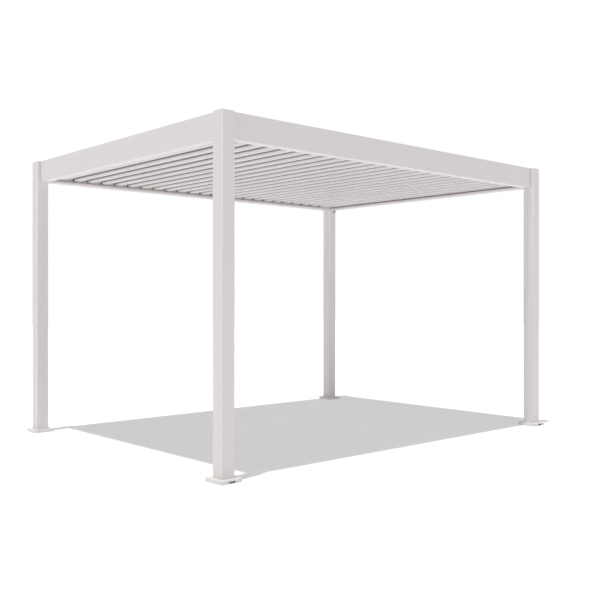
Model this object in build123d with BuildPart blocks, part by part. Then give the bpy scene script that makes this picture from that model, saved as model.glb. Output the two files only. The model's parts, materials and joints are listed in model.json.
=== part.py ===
from build123d import *
import math
import os

# Louvred-roof pergola of aluminium profiles, in millimetres. X runs along the long side, Y along the
# short side, Z up. The origin is on the ground, under the middle of the roof.

# Overall sizes, over the outer faces of the posts and up to the top of the ring beams
length = 4000
width = 3000
height = 2575

# Posts: square tubes that also carry the rainwater down
post_size = 110
post_wall = 3
post_radius = 5
post_cap_thickness = 3
post_cap_edge = 1.5

# Feet: a steel plate with a sleeve that enters the post, under a cover
base_plate_size = 170
base_plate_thickness = 8
anchor_spacing = 140
anchor_hole = 12
sleeve_wall = 4
sleeve_height = 110
sleeve_clearance = 0.3
foot_cover_size = 190
foot_cover_height = 27
foot_cover_wall = 3
foot_cover_radius = 14
foot_cover_edge = 2
foot_cover_clearance = 0.5
drain_width = 60
drain_height = 13
drain_bottom = 9
cover_drain_bottom = 3
drain_radius = 5

# Ring beams: a tall closed box with an open gutter along its inner side
beam_height = 192
beam_setback = 31
beam_box_width = 40
beam_wall = 2.5
gutter_from_post = 1
gutter_lip = 20
gutter_lip_thickness = 3
inlet_margin = 3
inlet_height = 8

# Louvres: hollow wing-shaped blades that turn about the middle of their rounded nose. The roof has as many
# as leave room for the fixed panel at the right end. The underside has a bevel below the nose and a narrow
# flat, and then rises to the tail, so that an open groove is left before the next blade's nose.
louvre_pitch = 152
first_pivot_from_end = 241
end_panel_least = 36
louvre_underside_rise = 36
pivot_above_underside = 14
nose_radius = 12
bevel_height = 10.5
flat_width = 40
crest_from_pivot = 84
tail_from_pivot = 105
blade_wall = 1.8
channel_depth_below_nose = 16
channel_start = 14
channel_end = 42
channel_bank = 6
channel_bank_height = 20
lip_gap = 5.2
lip_reach = 25
lip_thickness = 1.8
lip_drop = 15
lip_post_gap = 5
blade_cap_thickness = 3
pivot_radius = 6
pivot_clearance = 0.3
pivot_end_gap = 1

# Bearing strips: bars on the long beams with one hole for each pivot
bearing_thickness = 8
bearing_height = 36
blade_end_gap_front = 20
blade_end_gap_back = 26

# Link: one flat bar that joins the levers of all the louvres
lever_radius = 40
lever_angle = 45
lever_thickness = 4
lever_hub_radius = 10
lever_hub_length = 5
lever_eye_radius = 9
link_thickness = 5
link_height = 20
link_side_gap = 0.3
link_pin_radius = 4
link_pin_clearance = 0.3
link_pin_head_radius = 6
link_pin_head = 2
link_end = 16

# End flashings: fixed profiles that close the roof beside the first and the last louvre
flashing_thickness = 2
flashing_flange = 22
flashing_end_gap = 3
flashing_lip_stop = 2

# Crank eye under the right beam, close to the back post
eye_from_post = 34
eye_shaft_radius = 6
eye_shaft_inside = 30
eye_neck = 6
eye_collar_radius = 11
eye_collar_height = 4
eye_ring_radius = 13
eye_wire_radius = 3.5

# Values worked out from the sizes above
half_length = length / 2
half_width = width / 2
post_x = half_length - post_size / 2
post_y = half_width - post_size / 2
post_bore = post_size - 2 * post_wall
post_top = height - post_cap_thickness
beam_bottom = height - beam_height
box_inner = beam_setback + beam_box_width
gutter_width = post_size - gutter_from_post - box_inner
beam_depth = beam_box_width + gutter_width
long_beam_length = length - 2 * post_size
short_beam_length = width - 2 * post_size
pivot_z = beam_bottom + louvre_underside_rise + pivot_above_underside
louvre_room = length - box_inner - end_panel_least - first_pivot_from_end
louvre_count = int(louvre_room // louvre_pitch)
first_pivot_x = first_pivot_from_end - half_length
last_pivot_x = first_pivot_x + (louvre_count - 1) * louvre_pitch
pivots = [first_pivot_x + index * louvre_pitch for index in range(louvre_count)]
bearing_face = half_width - box_inner - bearing_thickness
blade_front = -(bearing_face - blade_end_gap_front)
blade_back = bearing_face - blade_end_gap_back
pivot_reach = half_width - box_inner - pivot_end_gap
lever_inner = blade_back + lever_hub_length
lever_outer = lever_inner + lever_thickness
link_inner = lever_outer + link_side_gap
link_outer = link_inner + link_thickness
lever_x = lever_radius * math.cos(math.radians(lever_angle))
lever_z = lever_radius * math.sin(math.radians(lever_angle))
lip_underside = nose_radius + lip_gap
lip_top = lip_underside + lip_thickness
underside = -pivot_above_underside
bevel_top = underside + bevel_height
lip_tip = louvre_pitch + lip_reach
lip_end = half_width - post_size - lip_post_gap
channel_floor = nose_radius - channel_depth_below_nose
bank_top = underside + channel_bank_height
eye_x = half_length - beam_setback - beam_box_width / 2
eye_y = half_width - post_size - eye_from_post
corners = {
    "front_left": (-1, -1),
    "front_right": (1, -1),
    "back_left": (-1, 1),
    "back_right": (1, 1),
}

os.makedirs("parts", exist_ok=True)


# Posts, open to the gutters at the top and to the drain slot at the foot
inlet_width = gutter_width - gutter_lip_thickness - inlet_margin
inlet_z = beam_bottom + beam_wall + inlet_height / 2
inlet_offset = box_inner + inlet_width / 2
for name, (side_x, side_y) in corners.items():
    with BuildPart() as post:
        with BuildSketch(Plane.XY.offset(base_plate_thickness)):
            with Locations((side_x * post_x, side_y * post_y)):
                RectangleRounded(post_size, post_size, post_radius)
                RectangleRounded(post_bore, post_bore, post_radius - post_wall, mode=Mode.SUBTRACT)
        extrude(amount=post_top - base_plate_thickness)
        with Locations((side_x * (half_length - post_size), side_y * (half_width - inlet_offset), inlet_z)):
            Box(3 * post_wall, inlet_width, inlet_height, mode=Mode.SUBTRACT)
        with Locations((side_x * (half_length - inlet_offset), side_y * (half_width - post_size), inlet_z)):
            Box(inlet_width, 3 * post_wall, inlet_height, mode=Mode.SUBTRACT)
        with Locations((side_x * post_x, side_y * half_width, drain_bottom + drain_height / 2)):
            Box(drain_width, 3 * post_wall, drain_height, mode=Mode.SUBTRACT)
    post.part.label = "post_" + name
    export_step(post.part, "parts/post_" + name + ".step")

with BuildPart() as post_caps:
    with BuildSketch(Plane.XY.offset(post_top)):
        with Locations([(x * post_x, y * post_y) for x, y in corners.values()]):
            RectangleRounded(post_size, post_size, post_radius)
    extrude(amount=post_cap_thickness)
    chamfer(post_caps.faces().group_by(Axis.Z)[-1].edges(), post_cap_edge)
post_caps.part.label = "post_caps"
export_step(post_caps.part, "parts/post_caps.step")


# Base plates with their sleeves and anchor holes
sleeve_size = post_bore - 2 * sleeve_clearance
sleeve_radius = post_radius - post_wall
with BuildPart() as base_plates:
    with BuildSketch():
        with Locations([(x * post_x, y * post_y) for x, y in corners.values()]):
            RectangleRounded(base_plate_size, base_plate_size, foot_cover_radius / 2)
            with GridLocations(anchor_spacing, anchor_spacing, 2, 2):
                Circle(anchor_hole / 2, mode=Mode.SUBTRACT)
    extrude(amount=base_plate_thickness)
    with BuildSketch(Plane.XY.offset(base_plate_thickness)):
        with Locations([(x * post_x, y * post_y) for x, y in corners.values()]):
            RectangleRounded(sleeve_size, sleeve_size, sleeve_radius)
            inner_size = sleeve_size - 2 * sleeve_wall
            Rectangle(inner_size, inner_size, mode=Mode.SUBTRACT)
    extrude(amount=sleeve_height)
    for side_x, side_y in corners.values():
        window_y = side_y * (half_width - post_wall - sleeve_clearance - sleeve_wall / 2)
        with Locations((side_x * post_x, window_y, drain_bottom + drain_height / 2)):
            Box(drain_width, 2 * sleeve_wall, drain_height, mode=Mode.SUBTRACT)
base_plates.part.label = "base_plates"
export_step(base_plates.part, "parts/base_plates.step")

# Foot covers: open boxes round the posts, with a drain slot on the outer side
cover_bore = foot_cover_size - 2 * foot_cover_wall
cover_hole = post_size + 2 * foot_cover_clearance
for name, (side_x, side_y) in corners.items():
    with BuildPart() as cover:
        with BuildSketch():
            with Locations((side_x * post_x, side_y * post_y)):
                RectangleRounded(foot_cover_size, foot_cover_size, foot_cover_radius)
        extrude(amount=foot_cover_height)
        fillet(cover.faces().sort_by(Axis.Z)[-1].edges(), foot_cover_edge)
        with BuildSketch():
            with Locations((side_x * post_x, side_y * post_y)):
                RectangleRounded(cover_bore, cover_bore, foot_cover_radius - foot_cover_wall)
        extrude(amount=foot_cover_height - foot_cover_wall, mode=Mode.SUBTRACT)
        with BuildSketch():
            with Locations((side_x * post_x, side_y * post_y)):
                RectangleRounded(cover_hole, cover_hole, post_radius + foot_cover_clearance)
        extrude(amount=foot_cover_height, mode=Mode.SUBTRACT)
        slot_y = side_y * (post_y + foot_cover_size / 2)
        slot_plane = Plane(
            origin=(side_x * post_x, slot_y, cover_drain_bottom + drain_height / 2),
            x_dir=(1, 0, 0),
            z_dir=(0, side_y, 0),
        )
        with BuildSketch(slot_plane):
            RectangleRounded(drain_width, drain_height, drain_radius)
        extrude(amount=2 * foot_cover_wall, both=True, mode=Mode.SUBTRACT)
    cover.part.label = "foot_cover_" + name
    export_step(cover.part, "parts/foot_cover_" + name + ".step")


# Ring beams, drawn from the outer face (0) inwards and from the bottom (0) upwards
beam_outline = [
    (0, 0),
    (beam_depth, 0),
    (beam_depth, gutter_lip),
    (beam_depth - gutter_lip_thickness, gutter_lip),
    (beam_depth - gutter_lip_thickness, beam_wall),
    (beam_box_width, beam_wall),
    (beam_box_width, beam_height),
    (0, beam_height),
]
beam_x = half_length - beam_setback
beam_y = half_width - beam_setback
beam_planes = {
    "beam_front": Plane(origin=(0, -beam_y, beam_bottom), x_dir=(0, 1, 0), z_dir=(1, 0, 0)),
    "beam_back": Plane(origin=(0, beam_y, beam_bottom), x_dir=(0, -1, 0), z_dir=(-1, 0, 0)),
    "beam_left": Plane(origin=(-beam_x, 0, beam_bottom), x_dir=(1, 0, 0), z_dir=(0, -1, 0)),
    "beam_right": Plane(origin=(beam_x, 0, beam_bottom), x_dir=(-1, 0, 0), z_dir=(0, 1, 0)),
}
for name, plane in beam_planes.items():
    beam_length = long_beam_length if name in ("beam_front", "beam_back") else short_beam_length
    with BuildPart() as beam:
        with BuildSketch(plane):
            with BuildLine():
                Polyline(*beam_outline, close=True)
            make_face()
            with Locations((beam_box_width / 2, beam_height / 2)):
                Rectangle(beam_box_width - 2 * beam_wall, beam_height - 2 * beam_wall, mode=Mode.SUBTRACT)
        extrude(amount=beam_length / 2, both=True)
        if name == "beam_right":
            with Locations((eye_x, eye_y, beam_bottom)):
                Cylinder(eye_shaft_radius + pivot_clearance, 4 * beam_wall, mode=Mode.SUBTRACT)
    beam.part.label = name
    export_step(beam.part, "parts/" + name + ".step")

# Bearing strips on the inner faces of the long beams
strip_length = last_pivot_x - first_pivot_x + 2 * bearing_height
strip_x = (first_pivot_x + last_pivot_x) / 2
for name, side in (("bearing_strip_front", -1), ("bearing_strip_back", 1)):
    strip_plane = Plane(origin=(0, side * bearing_face, pivot_z), x_dir=(1, 0, 0), z_dir=(0, -1, 0))
    with BuildPart() as strip:
        with BuildSketch(strip_plane):
            with Locations((strip_x, 0)):
                RectangleRounded(strip_length, bearing_height, 4)
            with Locations([(x, 0) for x in pivots]):
                Circle(pivot_radius + pivot_clearance, mode=Mode.SUBTRACT)
        extrude(amount=-side * bearing_thickness)
    strip.part.label = name
    export_step(strip.part, "parts/" + name + ".step")


# Louvres, drawn from their pivot: X along the blade's chord, Y up
def blade_outline():
    """The closed body: round nose, rain channel, sloping top, tail, rising underside, flat and bevel."""
    with BuildLine() as line:
        arc = CenterArc((0, 0), nose_radius, 10, 170)
        Polyline(
            arc @ 0,
            (channel_start, channel_floor),
            (channel_end, channel_floor),
            (channel_end + channel_bank, bank_top),
            (crest_from_pivot, lip_top),
            (tail_from_pivot, lip_top),
            (flat_width, underside),
            (0, underside),
            (-nose_radius, bevel_top),
            arc @ 1,
        )
    return line


# The lip that covers the next groove ends short of the posts, beside the last louvre
lip_outline = [
    (tail_from_pivot - 3 * blade_wall, lip_underside),
    (lip_tip - lip_thickness, lip_underside),
    (lip_tip - lip_thickness, lip_top - lip_drop),
    (lip_tip, lip_top - lip_drop),
    (lip_tip, lip_top),
    (tail_from_pivot - blade_wall, lip_top),
]
for index, pivot_x in enumerate(pivots):
    name = "louvre_" + str(index + 1).zfill(2)
    front_plane = Plane(origin=(pivot_x, blade_front, pivot_z), x_dir=(1, 0, 0), z_dir=(0, -1, 0))
    back_plane = Plane(origin=(pivot_x, blade_back, pivot_z), x_dir=(1, 0, 0), z_dir=(0, -1, 0))
    lever_plane = Plane(origin=(pivot_x, lever_inner, pivot_z), x_dir=(1, 0, 0), z_dir=(0, -1, 0))
    with BuildPart() as louvre:
        with BuildSketch(front_plane):
            with BuildLine():
                add(blade_outline().line)
            make_face()
            offset(amount=-blade_wall, mode=Mode.SUBTRACT)
        extrude(amount=-(blade_back - blade_front))
        with BuildSketch(Plane(origin=(pivot_x, -lip_end, pivot_z), x_dir=(1, 0, 0), z_dir=(0, -1, 0))):
            with BuildLine():
                Polyline(*lip_outline, close=True)
            make_face()
        extrude(amount=-2 * lip_end)
        for plane, direction in ((front_plane, -1), (back_plane, 1)):
            with BuildSketch(plane):
                with BuildLine():
                    add(blade_outline().line)
                make_face()
            extrude(amount=direction * blade_cap_thickness)
        with BuildSketch(front_plane):
            Circle(pivot_radius)
        extrude(amount=pivot_reach + blade_front)
        with BuildSketch(back_plane):
            Circle(pivot_radius)
        extrude(amount=-(pivot_reach - blade_back))
        with BuildSketch(back_plane):
            Circle(lever_hub_radius)
        extrude(amount=-(lever_outer - blade_back))
        with BuildSketch(lever_plane):
            Circle(lever_hub_radius)
            with Locations((lever_x, lever_z)):
                Circle(lever_eye_radius)
            make_hull()
        extrude(amount=-lever_thickness)
        with BuildSketch(lever_plane):
            with Locations((lever_x, lever_z)):
                Circle(link_pin_radius)
        extrude(amount=-(link_outer + link_side_gap + link_pin_head - lever_inner))
        head_plane = lever_plane.offset(-(link_outer + link_side_gap - lever_inner))
        with BuildSketch(head_plane):
            with Locations((lever_x, lever_z)):
                Circle(link_pin_head_radius)
        extrude(amount=-link_pin_head)
    louvre.part.label = name
    export_step(louvre.part, "parts/" + name + ".step")

# Link bar on the lever pins
link_plane = Plane(origin=(lever_x, link_inner, pivot_z + lever_z), x_dir=(1, 0, 0), z_dir=(0, -1, 0))
with BuildPart() as link_bar:
    with BuildSketch(link_plane):
        with Locations((strip_x, 0)):
            RectangleRounded(last_pivot_x - first_pivot_x + 2 * link_end, link_height, link_height / 2 - 1)
        with Locations([(x, 0) for x in pivots]):
            Circle(link_pin_radius + link_pin_clearance, mode=Mode.SUBTRACT)
    extrude(amount=-link_thickness)
link_bar.part.label = "link_bar"
export_step(link_bar.part, "parts/link_bar.step")


# Left flashing: a channel on the left beam whose lip covers the first louvre's nose, and stops short of
# its middle so that the louvre clears the lip when it stands upright
left_box = box_inner - half_length
left_panel_end = first_pivot_x - louvre_pitch + flat_width
left_lip_tip = first_pivot_x - flashing_lip_stop
flashing_inside = underside + flashing_thickness
left_outline = [
    (left_box, underside),
    (left_panel_end, underside),
    (left_panel_end, lip_underside),
    (left_lip_tip, lip_underside),
    (left_lip_tip, lip_top),
    (left_panel_end - flashing_thickness, lip_top),
    (left_panel_end - flashing_thickness, flashing_inside),
    (left_box + flashing_thickness, flashing_inside),
    (left_box + flashing_thickness, flashing_flange),
    (left_box, flashing_flange),
]
flashing_length = short_beam_length - 2 * flashing_end_gap
flashing_plane = Plane(origin=(0, 0, pivot_z), x_dir=(1, 0, 0), z_dir=(0, -1, 0))
with BuildPart() as flashing_left:
    with BuildSketch(flashing_plane):
        with BuildLine():
            Polyline(*left_outline, close=True)
        make_face()
    extrude(amount=flashing_length / 2, both=True)
flashing_left.part.label = "flashing_left"
export_step(flashing_left.part, "parts/flashing_left.step")

# Right flashing: a fixed bank under the last louvre's lip with the bevel of a louvre, and a panel to the
# right beam
right_box = half_length - box_inner
right_flat = last_pivot_x + louvre_pitch
right_bank = right_flat - nose_radius
right_outline = [
    (right_flat, underside),
    (right_box, underside),
    (right_box, flashing_flange),
    (right_box - flashing_thickness, flashing_flange),
    (right_box - flashing_thickness, flashing_inside),
    (right_flat, flashing_inside),
    (right_bank + flashing_thickness, bevel_top + flashing_thickness),
    (right_bank + flashing_thickness, nose_radius),
    (right_bank, nose_radius),
    (right_bank, bevel_top),
]
with BuildPart() as flashing_right:
    with BuildSketch(flashing_plane):
        with BuildLine():
            Polyline(*right_outline, close=True)
        make_face()
    extrude(amount=flashing_length / 2, both=True)
flashing_right.part.label = "flashing_right"
export_step(flashing_right.part, "parts/flashing_right.step")

# Crank eye: a shaft out of the beam, a collar and a ring for the crank's hook
ring_z = beam_bottom - eye_neck - eye_ring_radius
with BuildPart() as crank_eye:
    with BuildSketch(Plane.XY.offset(beam_bottom - eye_neck)):
        with Locations((eye_x, eye_y)):
            Circle(eye_shaft_radius)
    extrude(amount=eye_neck + eye_shaft_inside)
    with BuildSketch(Plane.XY.offset(beam_bottom - eye_collar_height)):
        with Locations((eye_x, eye_y)):
            Circle(eye_collar_radius)
    extrude(amount=eye_collar_height)
    with BuildSketch(Plane(origin=(eye_x, eye_y, ring_z), x_dir=(1, 0, 0), z_dir=(0, 0, 1))):
        with Locations((eye_ring_radius, 0)):
            Circle(eye_wire_radius)
    revolve(axis=Axis((eye_x, eye_y, ring_z), (0, 1, 0)))
crank_eye.part.label = "crank_eye"
export_step(crank_eye.part, "parts/crank_eye.step")
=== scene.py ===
import json
import math
import random
from functools import cached_property
from itertools import product

import bmesh
import bpy
from mathutils import Matrix, Vector


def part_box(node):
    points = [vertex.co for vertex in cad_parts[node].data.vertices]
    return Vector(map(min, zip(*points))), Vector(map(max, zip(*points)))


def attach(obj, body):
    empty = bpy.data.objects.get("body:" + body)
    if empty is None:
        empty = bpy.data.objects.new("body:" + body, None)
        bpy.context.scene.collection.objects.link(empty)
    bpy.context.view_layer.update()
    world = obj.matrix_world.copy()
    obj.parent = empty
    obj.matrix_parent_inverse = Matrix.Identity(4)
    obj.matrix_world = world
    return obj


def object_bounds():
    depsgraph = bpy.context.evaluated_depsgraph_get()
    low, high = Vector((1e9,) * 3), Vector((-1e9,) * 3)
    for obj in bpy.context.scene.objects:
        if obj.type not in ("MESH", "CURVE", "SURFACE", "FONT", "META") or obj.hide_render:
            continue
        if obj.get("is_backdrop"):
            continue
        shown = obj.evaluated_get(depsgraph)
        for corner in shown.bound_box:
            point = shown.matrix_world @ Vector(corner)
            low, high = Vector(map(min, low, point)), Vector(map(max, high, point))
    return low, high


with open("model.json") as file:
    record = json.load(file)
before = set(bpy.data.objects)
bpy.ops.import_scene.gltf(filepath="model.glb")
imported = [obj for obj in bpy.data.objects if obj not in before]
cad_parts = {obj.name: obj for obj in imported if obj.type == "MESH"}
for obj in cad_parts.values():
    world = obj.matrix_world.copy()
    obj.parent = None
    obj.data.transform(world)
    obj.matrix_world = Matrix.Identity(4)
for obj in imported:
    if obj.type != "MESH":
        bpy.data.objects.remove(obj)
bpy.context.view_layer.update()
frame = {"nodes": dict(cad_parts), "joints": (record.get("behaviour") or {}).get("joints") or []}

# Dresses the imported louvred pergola: materials for its nodes, small parts that ride on its bodies, and the
# photo's floor, light and camera. Lengths are in metres unless a comment says millimetres.
random.seed(24)
MM = 0.001

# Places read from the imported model
pivots = {j["child"]: Vector(j["pos_m"]) for j in frame["joints"] if j["child"].startswith("louvre_")}
louvres = sorted(pivots)
pivot_z = pivots[louvres[0]].z
pitch = pivots[louvres[1]].x - pivots[louvres[0]].x
strip_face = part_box("bearing_strip_back")[0].y
post_centre = (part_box("post_front_right")[1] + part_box("post_front_right")[0]) / 2

# Places on the nodes that their boxes don't give
CAP_FRONT, CAP_BACK = -1.4011, 1.3951  # y of the outer faces of a louvre's end caps
LIP_END = 1.384                        # the louvres' lips run from -LIP_END to LIP_END
LIP_UNDERSIDE = 17.2 * MM              # above the pivots
PLATE_TOP = 8 * MM                     # top of the base plates


# ---------------------------------------------------------------- materials
class Shading:
    """The node tree of a material or the world, with short calls for what the trees here use."""

    def __init__(self, owner, output="ShaderNodeOutputMaterial"):
        owner.use_nodes = True
        self.owner = owner
        self.tree = owner.node_tree
        self.tree.nodes.clear()
        self.output = self.node(output)

    def node(self, kind, inputs=None, **settings):
        made = self.tree.nodes.new(kind)
        for key, value in settings.items():
            setattr(made, key, value)
        for key, value in (inputs or {}).items():
            if isinstance(value, bpy.types.NodeSocket):
                self.tree.links.new(value, made.inputs[key])
            else:
                made.inputs[key].default_value = value
        return made

    def parts(self, vector):
        return self.node("ShaderNodeSeparateXYZ", {"Vector": vector}).outputs

    @cached_property
    def place(self):
        return self.node("ShaderNodeTexCoord").outputs["Object"]

    @cached_property
    def axis(self):
        return self.parts(self.place)

    @cached_property
    def normal(self):
        return self.parts(self.node("ShaderNodeNewGeometry").outputs["Normal"])

    def stretched(self, scale):
        return self.node("ShaderNodeMapping", {"Vector": self.place, "Scale": scale}).outputs[0]

    def noise(self, scale, detail=2.0, roughness=0.5, place=None):
        """Noise with about scale features to a metre."""
        values = {"Vector": place or self.place, "Scale": scale, "Detail": detail, "Roughness": roughness}
        return self.node("ShaderNodeTexNoise", values).outputs["Fac"]

    def span(self, value, low=0.0, high=1.0, at=0.3, to=0.7):
        """Value at..to becomes low..high, and no further. A noise's values lie mostly in 0.3..0.7."""
        values = {"Value": value, "From Min": at, "From Max": to, "To Min": low, "To Max": high}
        return self.node("ShaderNodeMapRange", values, clamp=True).outputs[0]

    def maths(self, kind, a, b=0.0):
        return self.node("ShaderNodeMath", {0: a, 1: b}, operation=kind).outputs[0]

    def mix(self, factor, a, b):
        # A Mix node has sockets for every kind of data; these are the factor's and the colours'
        share, first, second, result = 0, 6, 7, 2
        sockets = {share: factor, first: a, second: b}
        return self.node("ShaderNodeMix", sockets, data_type="RGBA").outputs[result]

    def bump(self, height, strength, distance, below=None):
        values = {"Height": height, "Strength": strength, "Distance": distance}
        if below:
            values["Normal"] = below
        return self.node("ShaderNodeBump", values).outputs[0]

    def shader(self, **values):
        values = {key.replace("_", " "): value for key, value in values.items()}
        return self.node("ShaderNodeBsdfPrincipled", values).outputs[0]

    def finish(self, surface):
        self.tree.links.new(surface, self.output.inputs["Surface"])
        return self.owner


def blank(name):
    return Shading(bpy.data.materials.new(name))


def tone(colour, factor=1.0):
    return tuple(c * factor for c in colour) + (1.0,)


DUST_AND_SHADE_TONE = (0.52, 0.485, 0.44)
LOW_TONE = (0.50, 0.455, 0.42)
DIE_STRETCH = {"X": (0.012, 1.0, 1.0), "Y": (1.0, 0.012, 1.0), "Z": (1.0, 1.0, 0.012)}


def coat_shader(s, colour, along, low_darkening=0.14, dust_and_top_shade=0.22, corners=None):
    """Matt powder coat: faint cloudiness, fine speckle, orange peel, and the die lines of the metal below it.

    along is the profile's direction; the next argument gives how much darker and browner it grows near the
    ground, the next how much dust lies on what faces up, which also paints shade on tops that the light makes
    too bright, and corners is 1 where the powder gets a glossy coat and a painted highlight.
    """
    speck = s.noise(1100.0, 1.0)
    cloudy = s.mix(s.span(s.noise(1.3, 3.0)), tone(colour, 0.975), tone(colour, 1.012))
    spotted = s.mix(s.span(speck, at=0.35, to=0.65), tone(colour, 0.955), tone(colour, 1.02))
    paint = s.mix(0.45, cloudy, spotted)

    # Dust on what faces up; it also stands as painted shade on tops that the overhead light makes too bright
    upward = s.span(s.normal["Z"], 0.0, dust_and_top_shade, 0.5, 0.95)
    dust_and_shade_share = s.maths("MULTIPLY", upward, s.span(s.noise(23.0, 5.0, 0.62), 0.15, 1.0))
    paint = s.mix(dust_and_shade_share, paint, tone(DUST_AND_SHADE_TONE))
    # Darker and browner towards the ground, in patches, up to 0.34 m above it
    low = s.span(s.axis["Z"], low_darkening, 0.0, 0.03, 0.34)
    darker_low = s.maths("MULTIPLY", low, s.span(s.noise(55.0, 4.0, 0.6), 0.35, 1.0))
    paint = s.mix(darker_low, paint, tone(LOW_TONE))
    # Painted highlight: the corners' colour is lightened as if they caught the light
    if corners:
        paint = s.mix(corners, paint, tone(colour, 1.18))

    lines = s.bump(s.noise(420.0, place=s.stretched(DIE_STRETCH[along])), 0.16, 0.12 * MM)
    peel = s.bump(s.noise(340.0), 0.22, 0.22 * MM, lines)
    grit = s.bump(speck, 0.12, 0.08 * MM, peel)
    rough = s.span(s.noise(37.0, 3.0), 0.44, 0.56)
    return s.shader(Base_Color=paint, Roughness=rough, Normal=grit, Specular_IOR_Level=0.42,
                    Coat_Weight=corners or 0.0, Coat_Roughness=0.25)


def metal_shader(s, colour, low, high, scale):
    """Bare metal with scratches, longest where scale is smallest, and uneven polish from low to high."""
    scratches = s.noise(260.0, 3.0, place=s.stretched(scale))
    paint = s.mix(s.span(s.noise(90.0, 3.0)), tone(colour, 0.9), tone(colour, 1.06))
    return s.shader(Base_Color=paint, Metallic=1.0, Roughness=s.span(scratches, low, high),
                    Normal=s.bump(scratches, 0.15, 0.05 * MM))


def powder_coat(name, colour, along, low_darkening=0.14, dust_and_top_shade=0.22):
    s = blank(name)
    return s.finish(coat_shader(s, colour, along, low_darkening, dust_and_top_shade))


def post_coat(name, colour):
    """Powder coat, glossy on the upright corners, where powder gathers, with a painted highlight there as well;
    both fade out below 2.05 m and are gone below 1.5 m.
    """
    s = blank(name)
    slant = s.maths("ABSOLUTE", s.maths("MULTIPLY", s.normal["X"], s.normal["Y"]))
    high_up = s.span(s.axis["Z"], at=1.5, to=2.05)
    corners = s.maths("MULTIPLY", s.span(slant, at=0.08, to=0.3), high_up)
    return s.finish(coat_shader(s, colour, "Z", corners=corners))


def louvre_finish(name, colour, steel):
    """Powder coat on the blade, bare steel on the pins and the lever beyond its end caps."""
    s = blank(name)
    y = s.axis["Y"]
    beyond = s.maths("MAXIMUM", s.maths("GREATER_THAN", y, CAP_BACK), s.maths("LESS_THAN", y, CAP_FRONT))
    paint = coat_shader(s, colour, "Y")
    metal = metal_shader(s, steel, 0.24, 0.42, (1.0, 0.1, 1.0))
    return s.finish(s.node("ShaderNodeMixShader", {0: beyond, 1: paint, 2: metal}).outputs[0])


def bare_metal(name, colour, low, high, scale=(1.0, 1.0, 1.0)):
    s = blank(name)
    return s.finish(metal_shader(s, colour, low, high, scale))


def zinc(name, colour):
    """Zinc with its crystals, each of a tone and a polish of its own."""
    s = blank(name)
    crystals = s.node("ShaderNodeTexVoronoi", {"Vector": s.place, "Scale": 130.0}).outputs["Color"]
    each = s.node("ShaderNodeSeparateColor", {"Color": crystals}).outputs[0]
    paint = s.mix(s.span(each, at=0.0, to=1.0), tone(colour, 0.78), tone(colour, 1.12))
    rough = s.span(each, 0.3, 0.5, 0.0, 1.0)
    return s.finish(s.shader(Base_Color=paint, Metallic=1.0, Roughness=rough,
                             Normal=s.bump(s.noise(300.0), 0.1, 0.1 * MM)))


def moulded(name, colour, low, high, grain, strength):
    """Plastic, rubber or paint with a cloudy tone, uneven gloss from low to high, and a fine grain."""
    s = blank(name)
    paint = s.mix(s.span(s.noise(45.0, 4.0)), tone(colour, 0.86), tone(colour, 1.1))
    return s.finish(s.shader(Base_Color=paint, Roughness=s.span(s.noise(120.0), low, high),
                             Normal=s.bump(s.noise(grain, 3.0), strength, 0.1 * MM)))


def brush_hair(name, colour, tips, tips_z):
    """Upright bristles: fine streaks of light and dark hairs, paler over the last 6 mm above tips_z, which
    lightens the painted shade where little more than the tips shows.
    """
    s = blank(name)
    hairs = s.noise(700.0, 3.0, 0.6, s.stretched((1.0, 1.0, 0.03)))
    paint = s.mix(s.span(hairs), tone(colour, 0.55), tone(colour, 1.35))
    paler_tips = s.span(s.axis["Z"], 1.0, 0.0, tips_z, tips_z + 6 * MM)
    return s.finish(s.shader(Base_Color=s.mix(paler_tips, paint, tone(tips)), Roughness=s.span(hairs, 0.55, 0.8),
                             Normal=s.bump(hairs, 0.5, 0.4 * MM)))


WHITE = (0.80, 0.760, 0.750)
# Darker copies of WHITE for the louvres and the foot covers: painted shade that dims the louvres' undersides and
# the covers' lit tops
LOUVRE_SHADED_WHITE = (0.738, 0.699, 0.686)
FOOT_SHADED_WHITE = (0.755, 0.747, 0.75)
STEEL = (0.60, 0.59, 0.58)
BRISTLE_LENGTH = 16.8  # mm below the lip's underside

coat_cap = powder_coat("coat_upright", WHITE, "Z")
# The foot covers also take more dust on top, which paints shade on their directly lit tops
coat_foot = powder_coat("coat_foot", FOOT_SHADED_WHITE, "Z", low_darkening=0.06, dust_and_top_shade=0.5)
coat_post = post_coat("coat_post", WHITE)
coat_long = powder_coat("coat_long", WHITE, "X")
coat_short = powder_coat("coat_short", WHITE, "Y")
louvre_coat = louvre_finish("louvre_coat", LOUVRE_SHADED_WHITE, STEEL)
stainless = bare_metal("stainless_steel", STEEL, 0.22, 0.4)
anodised = bare_metal("anodised_bar", (0.66, 0.655, 0.65), 0.32, 0.5, (0.03, 1.0, 1.0))
galvanised = zinc("galvanised_steel", (0.50, 0.51, 0.52))
plastic = moulded("bearing_plastic", (0.56, 0.55, 0.54), 0.38, 0.55, 900.0, 0.15)
rubber = moulded("black_rubber", (0.028, 0.027, 0.027), 0.6, 0.8, 500.0, 0.3)
eye_coat = moulded("eye_coat", (0.045, 0.045, 0.047), 0.35, 0.5, 700.0, 0.2)
# The seals' dark grey is painted shade in the grooves between the louvres; their pale lowest 6 mm lighten it
# where only the tips show
seal_shade_bristles = brush_hair("brush_seal_painted_shade", (0.25, 0.231, 0.222), (0.52, 0.50, 0.49),
                      pivot_z + LIP_UNDERSIDE - BRISTLE_LENGTH * MM)
# Mid grey: painted shade along the joints of beams and posts
sealant_and_shade = moulded("sealant_and_shade", (0.40, 0.385, 0.38), 0.3, 0.45, 200.0, 0.3)

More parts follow.
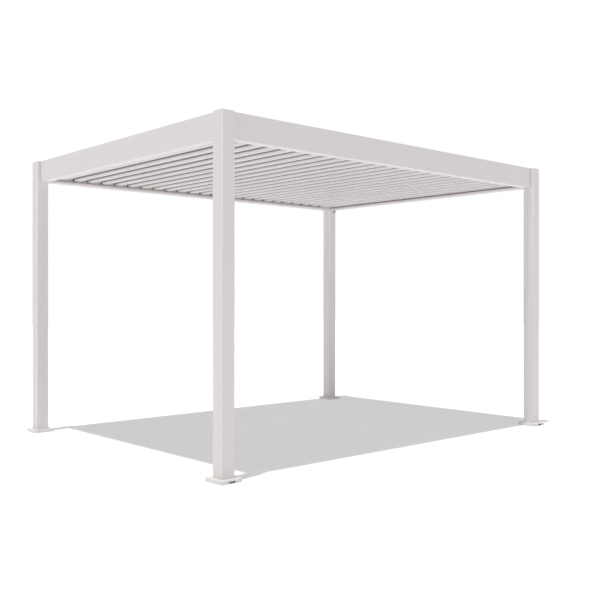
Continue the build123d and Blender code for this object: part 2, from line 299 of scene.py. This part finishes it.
# Each node takes the first finish here whose text its name starts with
FINISHES = (
    ("louvre_", louvre_coat), ("foot_cover_", coat_foot), ("post_caps", coat_cap), ("post_", coat_post),
    ("bearing_strip_", plastic), ("beam_front", coat_long), ("beam_back", coat_long), ("beam_", coat_short),
    ("flashing_", coat_short), ("base_plates", galvanised), ("link_bar", anodised), ("crank_eye", eye_coat),
)
for name, node in frame["nodes"].items():
    material = next(finish for start, finish in FINISHES if name.startswith(start))
    for place in node.material_slots:
        place.material = material


# ---------------------------------------------------------------- small parts
def placed(name, data):
    made = bpy.data.objects.new(name, data)
    bpy.context.scene.collection.objects.link(made)
    return made


def to_mesh(name, bm):
    mesh = bpy.data.meshes.new(name)
    bm.to_mesh(mesh)
    bm.free()
    return mesh


def piece(name, bm, material, body):
    """Makes an object of a bmesh, smooth with breaks at sharp edges, and lets it ride on a body."""
    bmesh.ops.remove_doubles(bm, verts=bm.verts, dist=1e-7)
    bmesh.ops.recalc_face_normals(bm, faces=bm.faces)
    mesh = to_mesh(name, bm)
    mesh.polygons.foreach_set("use_smooth", [True] * len(mesh.polygons))
    mesh.set_sharp_from_angle(angle=math.radians(35))
    mesh.materials.append(material)
    made = placed(name, mesh)
    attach(made, body)


def facing(point, direction):
    """A frame at a point whose Z looks along direction."""
    turn = Vector(direction).to_track_quat("Z", "Y").to_matrix().to_4x4()
    return Matrix.Translation(point) @ turn


def skin(bm, rings, closed=False):
    """Faces between each ring of vertices and the next. A ring of one vertex is a tip."""
    pairs = list(zip(rings, rings[1:])) + ([(rings[-1], rings[0])] if closed else [])
    for low, high in pairs:
        count = max(len(low), len(high))
        for k in range(count):
            n = (k + 1) % count
            corners = [low[k % len(low)], low[n % len(low)], high[n % len(high)], high[k % len(high)]]
            unique = list(dict.fromkeys(corners))
            if len(unique) > 2:
                bm.faces.new(unique)


def lids(bm, rings):
    bm.faces.new(list(reversed(rings[0])))
    bm.faces.new(rings[-1])


def circle(count):
    return [2 * math.pi * k / count for k in range(count)]


def ring(bm, place, radii, height):
    """Vertices spread evenly round a place's Z, at these radii and this height in mm."""
    made = []
    for radius, a in zip(radii, circle(len(radii))):
        r = radius * MM
        made.append(bm.verts.new(place @ Vector((r * math.cos(a), r * math.sin(a), height * MM))))
    return made


def turned(bm, profile, place, segments=24, closed=False):
    """A turned form. The profile has (radius, height) in mm, and the depth of its six lobes where it has any."""
    rings = []
    for radius, height, *lobes in profile:
        angles = circle(segments if radius > 0 else 1)
        radii = [radius * (1 + sum(lobes) * math.cos(6 * a)) for a in angles]
        rings.append(ring(bm, place, radii, height))
    skin(bm, rings, closed)


def washer(bm, place, radius, height, bevel, drop):
    """A washer with a bevelled rim, in mm. Its hole is left out, because a bolt or screw fills it."""
    rim = [(radius, 0), (radius, height - drop), (radius - bevel, height)]
    turned(bm, [(0, 0), *rim, (0, height)], place)


def pan_screw(bm, point, direction, radius, height):
    """A pan-head screw with a six-lobed recess, in mm."""
    drive = 0.42 * radius
    profile = [
        (0, -0.4), (radius, -0.4), (radius, 0.25 * height), (0.94 * radius, 0.55 * height),
        (0.8 * radius, 0.82 * height), (0.6 * radius, height), (1.18 * drive, height),
        (drive, 0.93 * height, 0.16), (0.92 * drive, 0.25 * height, 0.16), (0, 0.12 * height),
    ]
    turned(bm, profile, facing(point, direction))


def nut(bm, point, across, height):
    """A hexagon nut with turned corners, in mm, standing on its washer."""
    place = facing(point, (0, 0, 1)) @ Matrix.Rotation(random.uniform(0, 1.0), 4, "Z")
    corner = across / 2 * 1.155
    hexagon = [across / 2 / math.cos((a + math.pi / 6) % (math.pi / 3) - math.pi / 6) for a in circle(36)]
    rings = []
    for level, share in ((0.0, 0.93), (0.12, 1.0), (0.88, 1.0), (1.0, 0.93)):
        rings.append(ring(bm, place, [min(radius, corner * share) for radius in hexagon], level * height))
    skin(bm, rings)
    lids(bm, rings)


def bar(bm, outline, start, end, right, up):
    """A straight profile of an outline (mm, along right and up) between two points."""
    right, up = Vector(right), Vector(up)
    ends = []
    for point in (start, end):
        ends.append([bm.verts.new(Vector(point) + right * (x * MM) + up * (y * MM)) for x, y in outline])
    skin(bm, ends)
    lids(bm, ends)


# Louvres: a brush seal that hangs from each lip beside the next nose, its dark grey painted shade in the groove.
# The left flashing's lip has one too.
BRUSH = [
    (-4, 0), (4, 0), (4, -1.2), (1.7, -2), (1.1, 1 - BRISTLE_LENGTH),
    (0, -BRISTLE_LENGTH), (-1.1, 1 - BRISTLE_LENGTH), (-1.7, -2), (-4, -1.2),
]
TO_NEXT_PIVOT = 16 * MM
seals = [(name + "_seal", name, pivots[name].x) for name in louvres]
seals.append(("flashing_left_seal", "frame", pivots[louvres[0]].x - pitch))
for label, body, x in seals:
    start = (x + pitch - TO_NEXT_PIVOT, -LIP_END, pivot_z + LIP_UNDERSIDE)
    bm = bmesh.new()
    bar(bm, BRUSH, start, (start[0], LIP_END, start[2]), (1, 0, 0), (0, 0, 1))
    piece(label, bm, seal_shade_bristles, body)

# Louvres: the screws of the end caps, at places in mm from the pivot
CAP_SCREWS = ((29, -9), (67, 6))
SUNK = 0.1 * MM
for name in louvres:
    centre = pivots[name]
    bm = bmesh.new()
    for y, way in ((CAP_FRONT + SUNK, -1), (CAP_BACK - SUNK, 1)):
        for x, z in CAP_SCREWS:
            pan_screw(bm, (centre.x + x * MM, y, centre.z + z * MM), (0, way, 0), 3.4, 2.2)
    piece(name + "_cap_screws", bm, stainless, name)

# Bearing strips: a flanged bush at each pivot, and the strip's screws between them, by turns high and low
BUSH = [(6.5, -2), (10.6, 0), (10.6, 1.2), (10.0, 1.8), (7.2, 1.8), (6.6, 1.2)]
STRIP_SCREW_RISE = 7 * MM
for side, label in ((-1, "front"), (1, "back")):
    face = side * strip_face
    bm = bmesh.new()
    for name in louvres:
        turned(bm, BUSH, facing((pivots[name].x, face, pivot_z), (0, -side, 0)), 28, closed=True)
    piece("bushes_" + label, bm, rubber, "frame")
    bm = bmesh.new()
    for index, name in enumerate(louvres[:-1]):
        z = pivot_z + (STRIP_SCREW_RISE if index % 2 else -STRIP_SCREW_RISE)
        pan_screw(bm, (pivots[name].x + pitch / 2, face, z), (0, -side, 0), 4.2, 2.4)
    piece("strip_screws_" + label, bm, stainless, "frame")

# End flashings: screws with a washer along their upright edges
FLASHING_WALL = 2 * MM
FLASHING_SCREWS = 8
FLASHING_SCREW_RISE = 13 * MM
WASHER_HEIGHT = 1.1  # mm
for label, way in (("left", 1), ("right", -1)):
    low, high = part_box("flashing_" + label)
    x = (low.x if way > 0 else high.x) + way * FLASHING_WALL
    z = pivot_z + FLASHING_SCREW_RISE
    bm = bmesh.new()
    for k in range(FLASHING_SCREWS):
        y = low.y + (high.y - low.y) * (k + 0.5) / FLASHING_SCREWS
        washer(bm, facing((x, y, z), (way, 0, 0)), 7, WASHER_HEIGHT, 0.4, 0.3)
        pan_screw(bm, (x + way * WASHER_HEIGHT * MM, y, z), (way, 0, 0), 4.2, 2.8)
    piece("flashing_screws_" + label, bm, stainless, "frame")

# Feet: anchor bolts with washers and nuts on the base plates, under the covers
BOLT_OFFSET = 70 * MM
BOLT_WASHER_HEIGHT = 2  # mm
thread = [(0, 0)]
for k in range(9):
    thread += [(4.6, 6 + k), (5.0, 6.5 + k)]
thread += [(4.2, 15), (0, 15)]
bm = bmesh.new()
for side_x, side_y, way_x, way_y in product((-1, 1), repeat=4):
    point = Vector((side_x * abs(post_centre.x) + way_x * BOLT_OFFSET,
                    side_y * abs(post_centre.y) + way_y * BOLT_OFFSET, PLATE_TOP))
    place = facing(point, (0, 0, 1))
    washer(bm, place, 11.5, BOLT_WASHER_HEIGHT, 0.5, 0.4)
    nut(bm, point + Vector((0, 0, BOLT_WASHER_HEIGHT * MM)), 17, 7)
    turned(bm, thread, place, 16)
piece("anchor_bolts", bm, galvanised, "frame")

# Corners: an upright sealing bead on each beam's outer face, at both of its ends. Its mid grey is painted shade
# along the joints of beams and posts.
BEAD = [(0, 0), (2.2, 0), (1.5, 0.7), (0.8, 1.4), (0, 2.2)]
BEAD_END = 1 * MM
bm = bmesh.new()
for node, along in (("beam_front", 0), ("beam_back", 0), ("beam_left", 1), ("beam_right", 1)):
    low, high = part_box(node)
    across = 1 - along
    side = 1 if low[across] + high[across] > 0 else -1
    outward = Vector((0, 0, 0))
    outward[across] = side
    for end, way in ((low, 1), (high, -1)):
        inward = Vector((0, 0, 0))
        inward[along] = way
        foot = Vector((0, 0, low.z + BEAD_END))
        foot[along] = end[along]
        foot[across] = (high if side > 0 else low)[across]
        bar(bm, BEAD, foot, (foot.x, foot.y, high.z - BEAD_END), inward, outward)
piece("corner_sealant", bm, sealant_and_shade, "frame")


# ---------------------------------------------------------------- floor, light and camera
def seen_directly(s):
    """1 for what the camera sees itself, in a mirror or through glass, and 0 for light on the object."""
    path = s.node("ShaderNodeLightPath").outputs
    some = s.maths("ADD", path["Is Camera Ray"], path["Is Glossy Ray"])
    all_three = s.maths("ADD", some, path["Is Transmission Ray"])
    return s.node("ShaderNodeClamp", {"Value": all_three}).outputs[0]


FLOOR_SIZE = 30
FLOOR_DROP = 0.5 * MM  # keeps the floor off the undersides that stand on it
FLOOR_LIFT = 0.125     # lifts the lit floor to white where it is seen directly
bm = bmesh.new()
bmesh.ops.create_grid(bm, x_segments=8, y_segments=8, size=FLOOR_SIZE)
floor = placed("floor", to_mesh("floor", bm))
floor.location.z = -FLOOR_DROP
s = blank("floor")
pale = s.node("ShaderNodeBsdfDiffuse", {"Color": (0.92, 0.92, 0.94, 1.0)}).outputs[0]
glow = s.maths("MULTIPLY", seen_directly(s), FLOOR_LIFT)
lift = s.node("ShaderNodeEmission", {"Color": (1, 0.975, 1.03, 1), "Strength": glow}).outputs[0]
floor.data.materials.append(s.finish(s.node("ShaderNodeAddShader", {0: pale, 1: lift}).outputs[0]))
floor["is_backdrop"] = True

WORLD_LIGHT = 0.5  # on the object; 1 is the white that shows
world = bpy.data.worlds.new("studio")
bpy.context.scene.world = world
s = Shading(world, "ShaderNodeOutputWorld")
strength = s.span(seen_directly(s), WORLD_LIGHT, 1.0, 0.0, 1.0)
s.finish(s.node("ShaderNodeBackground", {"Color": (1, 1, 1, 1), "Strength": strength}).outputs[0])

# Name, strength, angle in degrees and the direction in which the light goes
SUNS = (
    ("overhead", 2.2, 1.4, (0.13, 0.024, -1.0)),
    ("side", 0.11, 40.0, (1.0, 0.1, -0.2)),
)
for name, energy, angle, direction in SUNS:
    lamp = bpy.data.lights.new(name, "SUN")
    lamp.energy = energy
    lamp.angle = math.radians(angle)
    placed(name, lamp).rotation_euler = Vector(direction).to_track_quat("-Z", "Y").to_euler()

# The camera, fitted to the edges in the photo. Focal length and principal point are in its pixels.
PHOTO = 600
FOCAL = 821.2
MIDDLE_X, MIDDLE_Y = 283.2, 298.5
EYE = (-5.413, -5.992, 1.2711)
FORWARD = (0.6623, 0.7492, 0)
lens = bpy.data.cameras.new("camera")
lens.sensor_width = 36
lens.lens = lens.sensor_width * FOCAL / PHOTO
lens.shift_x = (PHOTO / 2 - MIDDLE_X) / PHOTO
lens.shift_y = (MIDDLE_Y - PHOTO / 2) / PHOTO
lens.clip_end = 200
camera = placed("camera", lens)
forward = Vector(FORWARD).normalized()
right = Vector((forward.y, -forward.x, 0))
axes = Matrix((right, Vector((0, 0, 1)), -forward)).transposed()
camera.matrix_world = Matrix.Translation(EYE) @ axes.to_4x4()
bpy.context.scene.camera = camera
bpy.context.scene.view_settings.view_transform = "Standard"

low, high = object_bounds()
